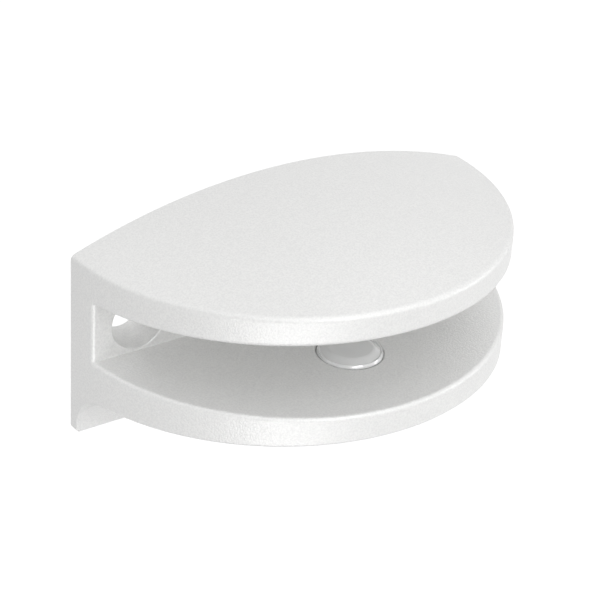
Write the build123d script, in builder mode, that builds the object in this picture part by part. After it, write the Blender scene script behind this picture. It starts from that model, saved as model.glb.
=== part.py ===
from build123d import *
from math import radians, tan
import os

# Half-round glass shelf clip.
#
# A zinc casting is screwed to the wall and grips the edge of a glass shelf in a slot between
# two jaws. The upper jaw is domed, the lower jaw is flat and carries a clamp screw. The screw
# is turned from below and lifts a clear pad against the underside of the glass.
#
# Frame: the origin is on the wall plane, midway between the two wall-screw holes and at the
# middle of the slot's height. +X runs along the wall, -Y points into the room, +Z points up.
# A depth is a distance in front of the wall, so it lies at Y = -depth.
# Sizes are in millimetres, angles in degrees.

# Plan of the casting, seen from above
plan_radius = 33.7
plan_centre_depth = 0.7

# Slot for the glass, which opens a little towards the front on both of its faces
slot_throat = 9.0  # height at the slot's back wall
slot_draft = 2.3
slot_corner_radius = 0.1
wall_plate_thickness = 5.4

# Jaws, with their thicknesses measured at the wall
upper_rim_thickness = 5.1  # from the slot's ceiling to the level rim of the dome
crown_rise = 6.0  # height of the dome above its rim
lower_jaw_thickness = 6.6
underside_draft = 2.0

# Flange that runs down the wall below the lower jaw, with a cove between the two
flange_thickness = 2.0
flange_drop = 6.6
cove_radius = 6.0

# Edges
rim_edge_radius = 1.0
slot_edge_radius = 0.6
underside_edge_chamfer = 0.4

# Holes for the wall screws, which taper from a wide mouth down to the bore
wall_screw_inset = 7.6  # from the clip's side to the middle of a hole
wall_bore_radius = 3.3
mouth_radius = 4.2
mouth_angle = 24.0
mouth_lip_chamfer = 0.1

# Clamp screw, M6 with a hexagon socket in its lower end
clamp_depth = 19.5
thread_radius = 3.0
thread_clearance = 0.05
clamp_screw_length = 10.0
clamp_screw_chamfer = 0.6
socket_across_flats = 3.0
socket_depth = 4.0
clamp_bore_chamfer = 0.4

# Shallow level seat in the sloping floor, where the pad rests when the screw is backed out
seat_clearance = 0.1
seat_front_depth = 0.25
seat_edge_chamfer = 0.15

# Clear pad, with a stem that plugs into the upper end of the screw
pad_radius = 4.75
pad_skirt_height = 0.5
pad_rim_edge = 0.15
pad_rim_width = 0.3
pad_rim_height = 0.65
pad_groove_width = 0.15
pad_groove_height = 0.55
pad_shoulder_width = 0.8
pad_shoulder_height = 1.0
pad_face_edge = 0.3
pad_height = 1.1
pad_seat_gap = 0.1
pad_screw_gap = 0.05
stem_radius = 1.5
stem_length = 2.5
stem_tip_chamfer = 0.3
stem_clearance = 0.05
stem_end_gap = 0.3


def slot_ceiling(depth):
    """Height of the slot's ceiling at a depth in front of the wall."""
    return slot_throat / 2 + (depth - wall_plate_thickness) * tan(radians(slot_draft))


def slot_floor(depth):
    """Height of the slot's floor at a depth in front of the wall."""
    return -slot_throat / 2 - (depth - wall_plate_thickness) * tan(radians(slot_draft))


def underside(depth):
    """Height of the lower jaw's underside at a depth in front of the wall."""
    return underside_at_wall + depth * tan(radians(underside_draft))


# Levels, radii and spacings that follow from the sizes above
rim_level = slot_throat / 2 + upper_rim_thickness
crown_level = rim_level + crown_rise
crown_radius = (plan_radius**2 + crown_rise**2) / (2 * crown_rise)
rim_round_centre = plan_radius - rim_edge_radius
dome_middle_radius = rim_round_centre * crown_radius / (crown_radius - rim_edge_radius)
wall_screw_spacing = 2 * (plan_radius - wall_screw_inset)
underside_at_wall = -slot_throat / 2 - lower_jaw_thickness
flange_bottom = underside_at_wall - flange_drop
seat_radius = pad_radius + seat_clearance
seat_level = slot_floor(clamp_depth + seat_radius) - seat_front_depth
pad_bottom = seat_level + pad_seat_gap
clamp_screw_top = pad_bottom - pad_screw_gap
clamp_screw_bottom = clamp_screw_top - clamp_screw_length

os.makedirs("parts", exist_ok=True)

# Casting: a round dome, turned about the plan's centre, is trimmed to the profile seen from its side
trim_depth = 2 * plan_radius + plan_centre_depth
cove_corner = (-flange_thickness, underside(flange_thickness))
slot_floor_corner = (-wall_plate_thickness, slot_floor(wall_plate_thickness))
slot_ceiling_corner = (-wall_plate_thickness, slot_ceiling(wall_plate_thickness))

with BuildPart() as clip_body:
    # The middle of the dome is part of a large sphere, out to where the rim's rounding touches it
    with BuildSketch(Plane.XY.offset(flange_bottom)):
        with Locations(Location((0, -plan_centre_depth, 0), (0, 0, 90))):
            Circle(dome_middle_radius)
    extrude(amount=crown_level - flange_bottom)
    with Locations((0, -plan_centre_depth, crown_level - crown_radius)):
        Sphere(crown_radius, rotation=(0, 90, 0), mode=Mode.INTERSECT)

    # The rounded rim and the side are turned around the middle, from an outline behind the wall
    with BuildSketch(Plane.YZ.shift_origin((0, -plan_centre_depth, 0))) as rim_outline:
        with BuildLine():
            rim_corner = (plan_radius, rim_level)
            Polyline((0, crown_level), (0, flange_bottom), (plan_radius, flange_bottom), rim_corner)
            RadiusArc(rim_corner, (0, crown_level), -crown_radius)
        make_face()
        fillet(rim_outline.vertices().sort_by_distance(rim_corner)[0], radius=rim_edge_radius)
        with BuildLine():
            Polyline(
                (0, flange_bottom),
                (dome_middle_radius, flange_bottom),
                (dome_middle_radius, crown_level),
                (0, crown_level),
                close=True,
            )
        make_face(mode=Mode.SUBTRACT)
    revolve(axis=Axis((0, -plan_centre_depth, 0), (0, 0, 1)))

    # Profile from the side: wall plate, slot, jaws and flange
    with BuildSketch(Plane.YZ) as side:
        with BuildLine():
            Polyline(
                (0, crown_level),
                (0, flange_bottom),
                (-flange_thickness, flange_bottom),
                cove_corner,
                (-trim_depth, underside(trim_depth)),
                (-trim_depth, slot_floor(trim_depth)),
                slot_floor_corner,
                slot_ceiling_corner,
                (-trim_depth, slot_ceiling(trim_depth)),
                (-trim_depth, crown_level),
                close=True,
            )
        make_face()
        for corner in (slot_floor_corner, slot_ceiling_corner):
            fillet(side.vertices().sort_by_distance(corner)[0], radius=slot_corner_radius)
        fillet(side.vertices().sort_by_distance(cove_corner)[0], radius=cove_radius)
    extrude(amount=2 * plan_radius, both=True, mode=Mode.INTERSECT)

    # The mouth of the slot is rounded, the underside has a small chamfer
    round_side = clip_body.faces().filter_by(GeomType.CYLINDER).sort_by(SortBy.AREA)[-1]
    fillet(round_side.inner_wires()[0].edges(), radius=slot_edge_radius)

    round_side = clip_body.faces().filter_by(GeomType.CYLINDER).sort_by(SortBy.AREA)[-1]
    lower_edges = round_side.outer_wire().edges().filter_by(
        lambda edge: edge.bounding_box().max.Z < slot_floor(0)
    )
    flange_front_edge = clip_body.edges().filter_by(Axis.X).group_by(Axis.Z)[0].sort_by(Axis.Y)[0]
    chamfer([*lower_edges, flange_front_edge], length=underside_edge_chamfer)

    # Wall-screw holes, entered from the slot
    with Locations(Plane.XZ.offset(wall_plate_thickness)):
        with GridLocations(wall_screw_spacing, wall_screw_spacing, 2, 1):
            CounterSinkHole(
                wall_bore_radius,
                mouth_radius,
                depth=wall_plate_thickness,
                counter_sink_angle=mouth_angle,
            )
    mouths = clip_body.faces().filter_by(GeomType.CONE).edges().group_by(Axis.Y)[0]
    chamfer(mouths, length=mouth_lip_chamfer)

    # Seat for the pad, cut level into the sloping floor
    with BuildSketch(Plane.XY.offset(seat_level)):
        with Locations((0, -clamp_depth)):
            Circle(seat_radius)
    extrude(amount=-seat_level, mode=Mode.SUBTRACT)
    seat_edge = clip_body.edges(Select.LAST).sort_by(Axis.Z)[-1]
    chamfer(seat_edge, length=seat_edge_chamfer)

    # Threaded bore for the clamp screw, through the lower jaw only
    with BuildSketch(Plane.XY.offset(seat_level)):
        with Locations((0, -clamp_depth)):
            Circle(thread_radius + thread_clearance)
    extrude(amount=flange_bottom - seat_level, mode=Mode.SUBTRACT)
    bore_end = clip_body.edges(Select.LAST).sort_by(Axis.Z)[0]
    chamfer(bore_end, length=clamp_bore_chamfer)

clip_body.part.label = "clip_body"
export_step(clip_body.part, "parts/clip_body.step")

# Clamp screw: a turned blank with a hexagon socket below and a plug hole above
with BuildPart() as clamp_screw:
    with BuildSketch(Plane.XY.offset(clamp_screw_bottom)):
        with Locations((0, -clamp_depth)):
            Circle(thread_radius)
    extrude(amount=clamp_screw_length)
    chamfer(clamp_screw.edges().filter_by(GeomType.CIRCLE), length=clamp_screw_chamfer)
    with BuildSketch(Plane.XY.offset(clamp_screw_bottom)):
        with Locations((0, -clamp_depth)):
            RegularPolygon(socket_across_flats / 2, side_count=6, major_radius=False)
    extrude(amount=socket_depth, mode=Mode.SUBTRACT)
    with BuildSketch(Plane.XY.offset(clamp_screw_top)):
        with Locations((0, -clamp_depth)):
            Circle(stem_radius + stem_clearance)
    extrude(amount=-stem_length - stem_end_gap, mode=Mode.SUBTRACT)

clamp_screw.part.label = "clamp_screw"
export_step(clamp_screw.part, "parts/clamp_screw.step")

# Clear pad: a button with a raised rim, a groove, a sloping shoulder and a flat face, turned with its stem
pad_groove_radius = pad_radius - pad_rim_width - pad_groove_width
pad_shoulder_radius = pad_groove_radius - pad_shoulder_width
pad_outline = [
    (0, pad_bottom - stem_length),
    (stem_radius - stem_tip_chamfer, pad_bottom - stem_length),
    (stem_radius, pad_bottom - stem_length + stem_tip_chamfer),
    (stem_radius, pad_bottom),
    (pad_radius, pad_bottom),
    (pad_radius, pad_bottom + pad_skirt_height),
    (pad_radius - pad_rim_edge, pad_bottom + pad_rim_height),
    (pad_radius - pad_rim_width, pad_bottom + pad_rim_height),
    (pad_groove_radius, pad_bottom + pad_groove_height),
    (pad_shoulder_radius, pad_bottom + pad_shoulder_height),
    (pad_shoulder_radius - pad_face_edge, pad_bottom + pad_height),
    (0, pad_bottom + pad_height),
]

with BuildPart() as clear_pad:
    with BuildSketch(Plane.XZ.offset(clamp_depth)) as pad_half:
        with BuildLine():
            Polyline(*pad_outline, close=True)
        make_face()
    revolve(axis=Axis((0, -clamp_depth, 0), (0, 0, 1)))

clear_pad.part.label = "clear_pad"
export_step(clear_pad.part, "parts/clear_pad.step")
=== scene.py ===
# %% [markdown]
# A glass shelf clip is a small zinc die casting that is screwed to the wall. It holds the edge of a
# glass shelf in a slot between two jaws, and a screw in the lower jaw presses a clear pad up against
# the glass. This lesson dresses the finished CAD model: the casting gets its grained silver lacquer,
# the screw gets a real thread and the pad is turned again as clear plastic. The frame is the CAD
# model's own: metres, +Z up, the wall at y = 0 and the clip standing out towards -Y.

import math

import bpy
import numpy as np
from mathutils import Matrix, Vector


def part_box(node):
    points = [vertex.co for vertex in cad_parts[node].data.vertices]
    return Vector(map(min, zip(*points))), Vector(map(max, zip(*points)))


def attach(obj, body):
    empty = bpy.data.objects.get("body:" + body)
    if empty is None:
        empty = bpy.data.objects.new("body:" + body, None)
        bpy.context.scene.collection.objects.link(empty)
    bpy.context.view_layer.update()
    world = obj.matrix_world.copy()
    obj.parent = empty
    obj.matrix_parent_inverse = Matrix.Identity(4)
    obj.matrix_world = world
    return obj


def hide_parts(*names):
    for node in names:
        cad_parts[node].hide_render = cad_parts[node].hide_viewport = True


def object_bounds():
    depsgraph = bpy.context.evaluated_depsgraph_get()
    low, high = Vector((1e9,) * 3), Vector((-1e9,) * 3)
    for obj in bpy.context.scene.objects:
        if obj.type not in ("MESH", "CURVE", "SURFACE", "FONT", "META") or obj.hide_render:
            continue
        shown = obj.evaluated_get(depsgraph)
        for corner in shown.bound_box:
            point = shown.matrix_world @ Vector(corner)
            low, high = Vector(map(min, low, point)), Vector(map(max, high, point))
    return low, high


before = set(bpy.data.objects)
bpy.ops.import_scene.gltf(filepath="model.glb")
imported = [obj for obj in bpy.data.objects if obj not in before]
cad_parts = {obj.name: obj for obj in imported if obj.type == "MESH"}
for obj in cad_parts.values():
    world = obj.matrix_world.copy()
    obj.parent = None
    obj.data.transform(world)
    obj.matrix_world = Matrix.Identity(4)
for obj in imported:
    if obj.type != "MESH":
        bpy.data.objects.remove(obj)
cad_low, cad_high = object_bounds()
mm = 0.001
print("CAD box in mm:", [round(side / mm, 2) for side in cad_high - cad_low])

# %% [markdown]
# Most of the small parts here are round, so one helper can make them all: it takes a stack of rings,
# joins each ring to the next with quads and closes the two ends with a fan of triangles round a pole.
# A Screw modifier could turn the plain parts from an outline, but rings worked out with numpy may
# also be hexagons or the turns of a thread.


# %% Rings into a closed mesh
def mesh_from_rings(name, rings):
    """Joins rings, an array (ring, point on ring, xyz), into one closed mesh.

    The points run counter-clockwise seen from above. The first ring lies round the lower pole and the
    last ring round the upper pole, and each pole is the mean of its ring.
    """
    ring_count, around = rings.shape[:2]
    points = np.concatenate([rings[:1].mean(axis=1), rings.reshape(-1, 3), rings[-1:].mean(axis=1)])
    here = 1 + np.arange(ring_count * around).reshape(ring_count, around)
    beside = np.roll(here, -1, axis=1)
    quads = np.stack([here[:-1], beside[:-1], beside[1:], here[1:]], axis=-1).reshape(-1, 4)
    low_pole = np.zeros(around, int)
    high_pole = np.full(around, len(points) - 1)
    low_fan = np.stack([low_pole, beside[0], here[0]], axis=-1)
    high_fan = np.stack([high_pole, here[-1], beside[-1]], axis=-1)
    mesh = bpy.data.meshes.new(name)
    mesh.from_pydata(points.tolist(), [], quads.tolist() + low_fan.tolist() + high_fan.tolist())
    mesh.validate()
    piece = bpy.data.objects.new(name, mesh)
    bpy.context.scene.collection.objects.link(piece)
    print(f"{name}: {len(mesh.vertices)} points, {len(mesh.polygons)} faces")
    return piece


def smooth_below(piece, angle):
    """Shades a piece smooth, apart from edges where its faces meet at more than the angle."""
    piece.data.shade_smooth()
    piece.data.set_sharp_from_angle(angle=math.radians(angle))


# %% [markdown]
# Moulded and turned parts have no perfectly sharp corners. A Bevel modifier could round a finished
# mesh, but each corner here wants its own radius. So an outline is drawn as a few corner points, each
# with its radius, and the helper below puts an arc in place of each corner.


# %% Outlines with rounded corners
def rounded_outline(corners, arc_steps=6):
    """Replaces each corner (radius from the axis, height, rounding) of an open outline by an arc.

    The arc touches both sides at rounding x tan(half the turn) from the corner, and its points turn
    from one side's direction to the other's in equal steps.
    """
    corners = np.asarray(corners, float)
    outline = [corners[0, :2]]
    for before, corner, after in zip(corners[:-2], corners[1:-1], corners[2:]):
        arriving = (corner - before)[:2] / np.linalg.norm((corner - before)[:2])
        leaving = (after - corner)[:2] / np.linalg.norm((after - corner)[:2])
        turn = math.atan2(arriving[0] * leaving[1] - arriving[1] * leaving[0], arriving @ leaving)
        left = np.array([-arriving[1], arriving[0]]) * math.copysign(1, turn)
        start = corner[:2] - arriving * corner[2] * math.tan(abs(turn) / 2)
        angles = np.linspace(0, abs(turn), arc_steps + 1)[:, None]
        arc = start + corner[2] * (np.sin(angles) * arriving + (1 - np.cos(angles)) * left)
        outline.extend(arc)
    outline.append(corners[-1, :2])
    return np.array(outline)


def rings_about(axis, radius, height, angle):
    """Rings of points at (axis.x + radius cos angle, axis.y + radius sin angle, height).

    Radius and height have a row for each ring, and the angle runs round it.
    """
    x = axis.x + radius * np.cos(angle)
    y = axis.y + radius * np.sin(angle)
    return np.stack([x, y, np.broadcast_to(height, x.shape)], axis=-1)


def full_turn(steps):
    """Angles of one turn in equal steps, without the last one, which is the first again."""
    return np.linspace(0, 2 * np.pi, steps, endpoint=False)


# %% [markdown]
# The clear pad is a low button of soft plastic with a sloping shoulder, and a stem below it plugs
# into the top of the screw. The CAD model holds its size, so the outline starts from the CAD node's
# box. What it lacks is the small roundings that catch the light on clear plastic. The outline runs
# from the stem's tip out to the pad's side, over its rim, down into the groove inside it and up the
# shoulder to the face.

# %% The pad's sizes
pad_low, pad_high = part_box("clear_pad")
pad_axis = (pad_low + pad_high) / 2
pad_radius = (pad_high.x - pad_low.x) / 2
pad_height = 1.1 * mm
pad_underside = pad_high.z - pad_height
stem_radius = 1.5 * mm
stem_tip_radius = 1.45 * mm
skirt_height = 0.25 * mm
rim_slope = 0.2 * mm
rim_width = 0.32 * mm
rim_height = 0.65 * mm
groove_inset = 0.45 * mm
groove_height = 0.52 * mm
shoulder_inset = 1.25 * mm
shoulder_height = 1.0 * mm
face_inset = 1.55 * mm
pole_radius = 0.3 * mm
print("pad radius in mm:", round(pad_radius / mm, 2))

# %% [markdown]
# Each row below is a corner of the outline: its radius, its height and its rounding. The rim's outer
# side slopes steeply, because that slope is what mirrors the lamps as white streaks. The last lines
# hide the CAD node that this piece stands in for and hang the piece on the moving body it rides.

# %% Turn the clear pad
pad_outline = rounded_outline(
    [
        (pole_radius, pad_low.z, 0),
        (stem_tip_radius, pad_low.z, 0.25 * mm),
        (stem_radius, pad_underside, 0.02 * mm),
        (pad_radius, pad_underside, 0.1 * mm),
        (pad_radius, pad_underside + skirt_height, 0.1 * mm),
        (pad_radius - rim_slope, pad_underside + rim_height, 0.06 * mm),
        (pad_radius - rim_width, pad_underside + rim_height, 0.05 * mm),
        (pad_radius - groove_inset, pad_underside + groove_height, 0.06 * mm),
        (pad_radius - shoulder_inset, pad_underside + shoulder_height, 0.4 * mm),
        (pad_radius - face_inset, pad_high.z, 0.3 * mm),
        (pole_radius, pad_high.z, 0),
    ]
)
pad_angles = full_turn(steps=128)
pad_rings = rings_about(pad_axis, pad_outline[:, :1], pad_outline[:, 1:], pad_angles)
clear_button = mesh_from_rings("clear_button", pad_rings)
smooth_below(clear_button, angle=35)
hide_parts("clear_pad")
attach(clear_button, "pad")

# %% [markdown]
# The clamp screw is an M6 socket screw, with a hexagon socket in its lower end and a plug hole for
# the pad's stem in its upper end. The CAD model leaves its shaft plain, at the crest of the thread,
# and the thread is added here. It rises 1 mm a turn, and is 0.6134 of that deep, as metric threads
# are. Its crest and flanks are given as shares of the pitch, on either side of the crest's middle.

# %% The screw's sizes
screw_low, screw_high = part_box("clamp_screw")
screw_axis = (screw_low + screw_high) / 2
screw_length = screw_high.z - screw_low.z
crest_radius = (screw_high.x - screw_low.x) / 2
pitch = 1.0 * mm
thread_depth = 0.6134 * pitch
crest_half_width = 1 / 16
flank_width = 5 / 16
end_chamfer = 0.6 * mm
socket_apothem = 1.5 * mm
socket_depth = 4.0 * mm
socket_lead_in = 0.25 * mm
socket_cone = 0.5 * mm
socket_floor_step = 0.01 * mm
plug_hole_radius = 1.55 * mm
plug_hole_depth = 2.8 * mm
plug_hole_lead_in = 0.2 * mm
plug_hole_cone = 0.4 * mm
print("screw length in mm:", round(screw_length / mm, 2))

# %% [markdown]
# A Screw modifier could wind the thread, but it would be an open strip that has to be joined to the
# ends. Here the radius depends on the phase instead, which is the height in pitches less the turn.
# Along a right-hand helix the phase stays the same, so one formula gives every turn of the thread,
# and the socket and the plug hole are only more rings of the same closed surface.


# %% Thread, socket and plug hole in one surface
def thread_radius(height, angle):
    """Crest radius less the depth of the thread at a point.

    The phase is height / pitch - angle / full turn. The flank runs from the crest to the root over
    its width, a share of the pitch, with a smooth step, and both ends follow the chamfer's cone.
    """
    phase = (height - screw_low.z) / pitch - angle / (2 * np.pi)
    from_crest = np.abs(phase - np.round(phase))
    flank = np.clip((from_crest - crest_half_width) / flank_width, 0, 1)
    thread = crest_radius - thread_depth * flank**2 * (3 - 2 * flank)
    from_end = np.minimum(height - screw_low.z, screw_high.z - height)
    return np.minimum(thread, crest_radius - end_chamfer + from_end)


def screw_rings(around=96, rows_per_pitch=16):
    """Runs out of the hexagon socket, round the lower end, up the thread and into the plug hole.

    The hexagon's radius is its apothem over the cosine of the angle from the middle of a side.
    """
    angle = full_turn(around)
    hexagon = socket_apothem / np.cos(angle % (np.pi / 3) - np.pi / 6)
    circle = np.ones_like(angle)
    rows_up = round(screw_length / pitch * rows_per_pitch) + 1
    heights = np.linspace(screw_low.z, screw_high.z, rows_up)
    shaft = [(thread_radius(height, angle), height) for height in heights]
    socket_floor = screw_low.z + socket_depth
    plug_hole_floor = screw_high.z - plug_hole_depth
    rows = [
        (pole_radius * circle, socket_floor + socket_cone),
        (socket_apothem * circle, socket_floor),
        (hexagon, socket_floor - socket_floor_step),
        (hexagon, screw_low.z + socket_lead_in),
        (hexagon + socket_lead_in, screw_low.z),
        *shaft,
        ((plug_hole_radius + plug_hole_lead_in) * circle, screw_high.z),
        (plug_hole_radius * circle, screw_high.z - plug_hole_lead_in),
        (plug_hole_radius * circle, plug_hole_floor),
        (pole_radius * circle, plug_hole_floor - plug_hole_cone),
    ]
    radius = np.array([row[0] for row in rows])
    height = np.array([row[1] for row in rows])[:, None]
    return rings_about(screw_axis, radius, height, angle)


threaded_screw = mesh_from_rings("threaded_screw", screw_rings())
smooth_below(threaded_screw, angle=40)
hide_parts("clamp_screw")
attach(threaded_screw, "screw")

# %% [markdown]
# Materials are built from nodes, which could be added and joined one by one. Five small helpers keep
# that short. The first starts a material and hands back its Principled shader, with the plain numbers
# set on the shader's own sockets. The others add a node, join two sockets, fix a noise to the object
# and tilt the surface with a bump.


# %% Helpers for materials
def new_material(name, **sockets):
    """A node material whose Principled shader has the given values on its own sockets."""
    material = bpy.data.materials.new(name)
    material.use_nodes = True
    shader = material.node_tree.nodes["Principled BSDF"]
    for socket, value in sockets.items():
        shader.inputs[socket.replace("_", " ")].default_value = value
    print(f"{name}: {len(sockets)} sockets set")
    return material, shader


def add_node(material, kind, **settings):
    """Adds a node and sets its properties, or the inputs that share their names."""
    node = material.node_tree.nodes.new(kind)
    for name, value in settings.items():
        if hasattr(node, name):
            setattr(node, name, value)
        else:
            node.inputs[name.replace("_", " ")].default_value = value
    return node


def link(material, source, target):
    """Joins an output socket to an input socket."""
    material.node_tree.links.new(source, target)


def noise_on_object(material, **settings):
    """The output of a noise that is fixed to the object, and so stays in place as it moves."""
    place = add_node(material, "ShaderNodeTexCoord")
    noise = add_node(material, "ShaderNodeTexNoise", **settings)
    link(material, place.outputs["Object"], noise.inputs["Vector"])
    return noise.outputs["Fac"]


def bump_from(material, shader, height, **settings):
    """Tilts the shader's surface where the height changes."""
    bump = add_node(material, "ShaderNodeBump", **settings)
    link(material, height, bump.inputs["Height"])
    link(material, bump.outputs["Normal"], shader.inputs["Normal"])


# %% [markdown]
# The casting is sprayed with a pale silver lacquer. Close up it isn't smooth: fine metal grains lie
# in it at slightly different angles, so some sparkle and some go grey. A picture of real lacquer
# could be wrapped round the casting, but it would show seams on the curved rims. Noise of about a
# quarter of a millimetre has none. It moves the colour a little, and a bump tilts the surface with
# it, so that the highlights on the rims sparkle.

# %% Silver lacquer
dark_grain = (0.84, 0.84, 0.835, 1)
light_grain = (0.91, 0.91, 0.9, 1)
lacquer, lacquer_shader = new_material("silver_lacquer", Metallic=0.25, Roughness=0.36)
grain = noise_on_object(lacquer, Scale=3800.0, Detail=2.0, Roughness=0.5)
grain_colour = add_node(lacquer, "ShaderNodeValToRGB")
dark_end, light_end = grain_colour.color_ramp.elements
dark_end.position, light_end.position = 0.36, 0.64
dark_end.color, light_end.color = dark_grain, light_grain
link(lacquer, grain, grain_colour.inputs["Fac"])
link(lacquer, grain_colour.outputs["Color"], lacquer_shader.inputs["Base Color"])
bump_from(lacquer, lacquer_shader, grain, Strength=0.85, Distance=0.08 * mm)
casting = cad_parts["clip_body"]
casting.data.materials.clear()
casting.data.materials.append(lacquer)

# %% [markdown]
# The screw is bright zinc-plated steel. One roughness would do for a freshly turned part, but plating
# is never quite even, so a broad noise lets the gloss wander over it.

# %% Zinc-plated steel
steel, steel_shader = new_material(
    "zinc_plated_steel", Metallic=1.0, Base_Color=(0.66, 0.67, 0.68, 1)
)
plating = noise_on_object(steel, Scale=900.0, Detail=3.0)
plating_range = add_node(steel, "ShaderNodeMapRange", To_Min=0.22, To_Max=0.4)
link(steel, plating, plating_range.inputs["Value"])
link(steel, plating_range.outputs["Result"], steel_shader.inputs["Roughness"])
threaded_screw.data.materials.append(steel)

# %% [markdown]
# The pad is clear soft plastic, and its rim mirrors the lamps as white streaks. A shader with
# transmission would bend light as the real plastic does, but little light reaches the bore below the
# pad, and its inside comes out black. So the plastic is made milky and a little see-through instead,
# under a glossy coat for the streaks. A faint ripple from the mould makes them uneven.

# %% Clear plastic
plastic, plastic_shader = new_material(
    "clear_plastic",
    Base_Color=(0.98, 0.985, 0.985, 1),
    Roughness=0.2,
    IOR=1.45,
    Alpha=0.85,
    Coat_Weight=1.0,
    Coat_IOR=1.8,
    Coat_Roughness=0.04,
)
ripple = noise_on_object(plastic, Scale=500.0, Detail=1.0)
bump_from(plastic, plastic_shader, ripple, Strength=0.1, Distance=0.02 * mm)
clear_button.data.materials.append(plastic)

# %% [markdown]
# The photograph looks down on the clip from its left. The camera stands at the measured place and
# looks at a point by the slot, and its roll tilts the picture a few degrees. A Track To constraint
# could aim it too, but the turn is worked out here once, so that the roll can be added to it.

# %% Camera
camera_place = Vector((-157.09, -219.07, 140.74)) * mm
camera_aim = Vector((-8.06, -17.94, 4.50)) * mm
camera_roll = math.radians(3.44)
camera_data = bpy.data.cameras.new("camera")
camera_data.lens = 125.2
camera_data.sensor_width = 36
camera_data.clip_start = 0.01
camera = bpy.data.objects.new("camera", camera_data)
bpy.context.scene.collection.objects.link(camera)
looking = (camera_aim - camera_place).to_track_quat("-Z", "Y").to_matrix().to_4x4()
rolled = looking @ Matrix.Rotation(camera_roll, 4, "Z")
camera.matrix_world = Matrix.Translation(camera_place) @ rolled
bpy.context.scene.camera = camera
bpy.context.scene.view_settings.view_transform = "Standard"
print("camera distance in mm:", round((camera_place - camera_aim).length / mm))

# %% [markdown]
# The floor is a wide pale sheet well below the clip. It is one flat square, which is all that a plain
# floor needs, and it hangs on none of the clip's moving bodies.

# %% Floor
floor_size = 4.0
floor_depth = 200 * mm
half = floor_size / 2
floor_level = cad_low.z - floor_depth
floor_mesh = bpy.data.meshes.new("floor")
floor_mesh.from_pydata(
    [(x * half, y * half, floor_level) for x, y in ((-1, -1), (1, -1), (1, 1), (-1, 1))],
    [],
    [(0, 1, 2, 3)],
)
floor = bpy.data.objects.new("floor", floor_mesh)
bpy.context.scene.collection.objects.link(floor)
print("floor level in mm:", round(floor_level / mm, 1))

# %% [markdown]
# The background should be white. More light would make it so, but the clip's pale lacquer would turn
# white with it. So the floor and the world tell the rays apart: those from the camera, a reflection
# or clear plastic see them white, and those that light the clip don't.


# %% Rays that see the background
def seen_directly(material):
    """A factor of 1 for rays from the camera, a reflection or clear plastic, 0 for lighting rays."""
    rays = add_node(material, "ShaderNodeLightPath")
    glossy = add_node(material, "ShaderNodeMath", operation="MAXIMUM")
    link(material, rays.outputs["Is Camera Ray"], glossy.inputs[0])
    link(material, rays.outputs["Is Glossy Ray"], glossy.inputs[1])
    clear = add_node(material, "ShaderNodeMath", operation="MAXIMUM")
    link(material, glossy.outputs[0], clear.inputs[0])
    link(material, rays.outputs["Is Transmission Ray"], clear.inputs[1])
    return clear.outputs[0]


# %% [markdown]
# The floor's paper is plain grey in the light, and those rays see it with a glow added, which takes
# it to white and leaves the soft shadow on it. From below the sheet is left out, so that the clip's
# underside can be seen.

# %% Floor paper
paper_glow = 0.76
paper, paper_shader = new_material(
    "floor_paper",
    Base_Color=(0.5, 0.5, 0.5, 1),
    Roughness=0.9,
    Emission_Color=(1, 1, 1, 1),
)
glow = add_node(paper, "ShaderNodeMath", operation="MULTIPLY")
glow.inputs[1].default_value = paper_glow
link(paper, seen_directly(paper), glow.inputs[0])
link(paper, glow.outputs[0], paper_shader.inputs["Emission Strength"])
side_seen = add_node(paper, "ShaderNodeNewGeometry")
unseen = add_node(paper, "ShaderNodeBsdfTransparent")
open_below = add_node(paper, "ShaderNodeMixShader")
link(paper, side_seen.outputs["Backfacing"], open_below.inputs["Fac"])
link(paper, paper_shader.outputs["BSDF"], open_below.inputs[1])
link(paper, unseen.outputs["BSDF"], open_below.inputs[2])
paper_surface = paper.node_tree.nodes["Material Output"].inputs["Surface"]
link(paper, open_below.outputs["Shader"], paper_surface)
floor.data.materials.append(paper)

# %% [markdown]
# A pale studio surrounds the clip. A picture of a studio could light it too, but a plain world needs
# no file and its light is even. It shows as white behind the clip, and lights it less than that.

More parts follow.
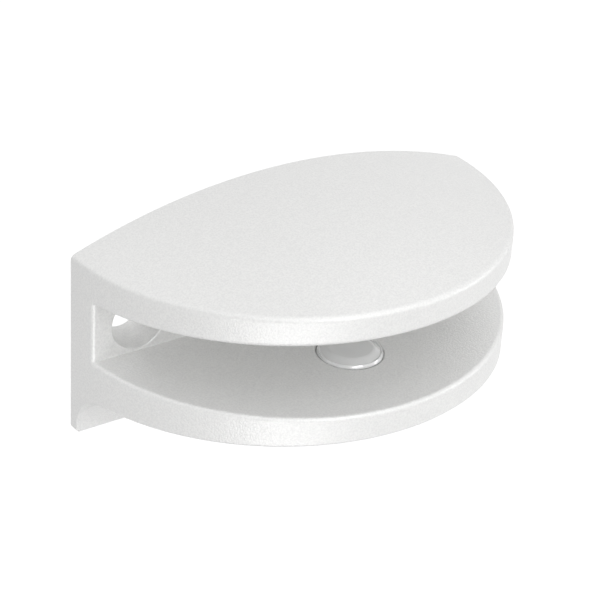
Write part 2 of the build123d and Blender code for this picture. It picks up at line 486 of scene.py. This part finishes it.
# %% World
room_light = 0.43
world = bpy.data.worlds.new("studio")
bpy.context.scene.world = world
world.use_nodes = True
backdrop = world.node_tree.nodes["Background"]
backdrop.inputs["Color"].default_value = (1, 1, 1, 1)
room = add_node(world, "ShaderNodeBackground", Strength=room_light)
room.inputs["Color"].default_value = (1, 1, 1, 1)
world_mix = add_node(world, "ShaderNodeMixShader")
link(world, seen_directly(world), world_mix.inputs["Fac"])
link(world, room.outputs["Background"], world_mix.inputs[1])
link(world, backdrop.outputs["Background"], world_mix.inputs[2])
world_surface = world.node_tree.nodes["World Output"].inputs["Surface"]
link(world, world_mix.outputs["Shader"], world_surface)
print("room light:", room_light)

# %% [markdown]
# Seven soft boxes give the tones that an even light lacks. The camera looks down, so the upright
# bands of the two jaws mirror what lies below them: two boxes low in front, a little to the left,
# make the bright highlight there. A high box and a wide one light the top, and one behind lights the
# back and the left side. Two narrow strips are for the pad, whose glossy rim mirrors them as streaks.


# %% Lamps
def soft_box(name, azimuth, elevation, distance, size, power):
    """A rectangular lamp of size (width, height) that looks at the clip from a distance.

    It lies along (sin azimuth cos elevation, -cos azimuth cos elevation, sin elevation) from the
    clip's middle, so azimuth 0 is in front and grows to the right.
    """
    turn, lift = math.radians(azimuth), math.radians(elevation)
    level = math.cos(lift)
    towards = Vector((math.sin(turn) * level, -math.cos(turn) * level, math.sin(lift)))
    lamp = bpy.data.lights.new(name, "AREA")
    lamp.shape = "RECTANGLE"
    lamp.size, lamp.size_y = size
    lamp.energy = power
    lamp_object = bpy.data.objects.new(name, lamp)
    bpy.context.scene.collection.objects.link(lamp_object)
    lamp_object.location = (cad_low + cad_high) / 2 + towards * distance
    lamp_object.rotation_mode = "QUATERNION"
    lamp_object.rotation_quaternion = towards.to_track_quat("Z", "Y")
    print(f"{name}: {power} W at {distance} m")


soft_box("front_box", azimuth=-30, elevation=-26, distance=0.26, size=(0.15, 0.09), power=0.065)
soft_box("front_wide_box", azimuth=-28, elevation=-20, distance=0.26, size=(0.3, 0.12), power=0.055)
soft_box("high_box", azimuth=0, elevation=50, distance=0.8, size=(1.2, 0.8), power=1.65)
soft_box("wide_box", azimuth=50, elevation=45, distance=0.8, size=(1.6, 1.6), power=2.1)
soft_box("back_left_box", azimuth=-135, elevation=45, distance=0.8, size=(1.2, 1.0), power=1.1)
soft_box("strip_box", azimuth=-8, elevation=23, distance=0.8, size=(0.5, 0.08), power=0.7)
soft_box("side_strip_box", azimuth=65, elevation=7, distance=0.8, size=(0.5, 0.08), power=0.45)
